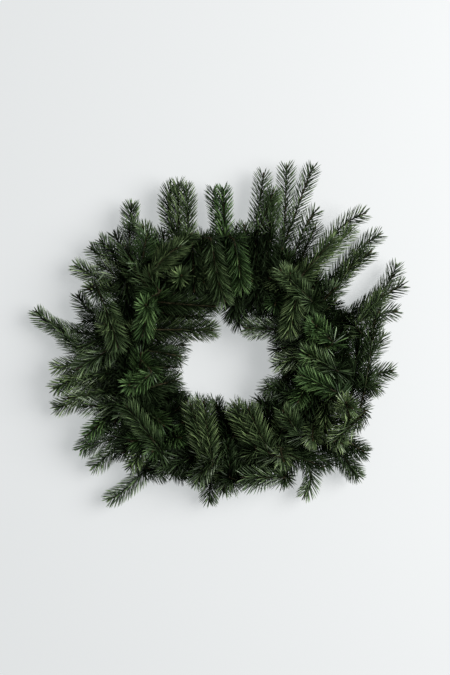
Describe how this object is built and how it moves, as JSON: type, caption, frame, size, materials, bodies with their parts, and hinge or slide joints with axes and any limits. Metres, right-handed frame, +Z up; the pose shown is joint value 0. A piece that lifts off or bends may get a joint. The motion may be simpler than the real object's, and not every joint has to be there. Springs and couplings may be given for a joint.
{
  "type": "evergreen wreath",
  "caption": "Wreath of fresh dark green fir sprigs on a bound willow ring, lying flat with its tips pointing out, in and up.",
  "frame": {"origin": "middle of the footprint, on the surface that the wreath lies on", "axes": "+Z up out of the wreath's face, +X towards the right of the picture, +Y towards its top"},
  "size_m": [0.5368, 0.492, 0.1071],
  "materials": {
    "needles_deep": "deep green needles",
    "needles_olive": "yellow-green needles",
    "needles_blue": "blue-green needles",
    "willow": "bark",
    "wire": "lacquered"
  },
  "bodies": {
    "root": {"willow_ring": "willow", "binding_wire": "wire", "outer_sprig_01": "needles_deep", "outer_sprig_02": "needles_deep", "outer_sprig_03": "needles_deep", "outer_sprig_04": "needles_olive", "outer_sprig_05": "needles_deep", "outer_sprig_06": "needles_deep", "outer_sprig_07": "needles_deep", "outer_sprig_08": "needles_blue", "outer_sprig_09": "needles_olive", "outer_sprig_10": "needles_deep", "outer_sprig_11": "needles_deep", "outer_sprig_12": "needles_olive", "outer_sprig_13": "needles_deep", "outer_sprig_14": "needles_deep", "outer_sprig_15": "needles_olive", "outer_sprig_16": "needles_olive", "outer_sprig_17": "needles_blue", "outer_sprig_18": "needles_deep", "outer_sprig_19": "needles_olive", "outer_sprig_20": "needles_deep", "outer_sprig_21": "needles_deep", "outer_sprig_22": "needles_deep", "outer_sprig_23": "needles_blue", "outer_sprig_24": "needles_deep", "outer_sprig_25": "needles_deep", "outer_sprig_26": "needles_deep", "outer_sprig_27": "needles_deep", "inner_sprig_01": "needles_deep", "inner_sprig_02": "needles_olive", "inner_sprig_03": "needles_blue", "inner_sprig_04": "needles_deep", "inner_sprig_05": "needles_deep", "inner_sprig_06": "needles_olive", "inner_sprig_07": "needles_olive", "inner_sprig_08": "needles_deep", "inner_sprig_09": "needles_deep", "inner_sprig_10": "needles_blue", "inner_sprig_11": "needles_deep", "inner_sprig_12": "needles_blue", "inner_sprig_13": "needles_olive", "inner_sprig_14": "needles_deep", "inner_sprig_15": "needles_deep", "inner_sprig_16": "needles_deep", "face_sprig_01": "needles_olive", "face_sprig_02": "needles_deep", "face_sprig_03": "needles_blue", "face_sprig_04": "needles_blue", "face_sprig_05": "needles_blue", "face_sprig_06": "needles_olive", "face_sprig_07": "needles_olive", "face_sprig_08": "needles_olive", "face_sprig_09": "needles_blue", "face_sprig_10": "needles_blue", "face_sprig_11": "needles_blue", "face_sprig_12": "needles_olive", "face_sprig_13": "needles_blue", "face_sprig_14": "needles_olive", "face_sprig_15": "needles_blue"}
  },
  "joints": []
}
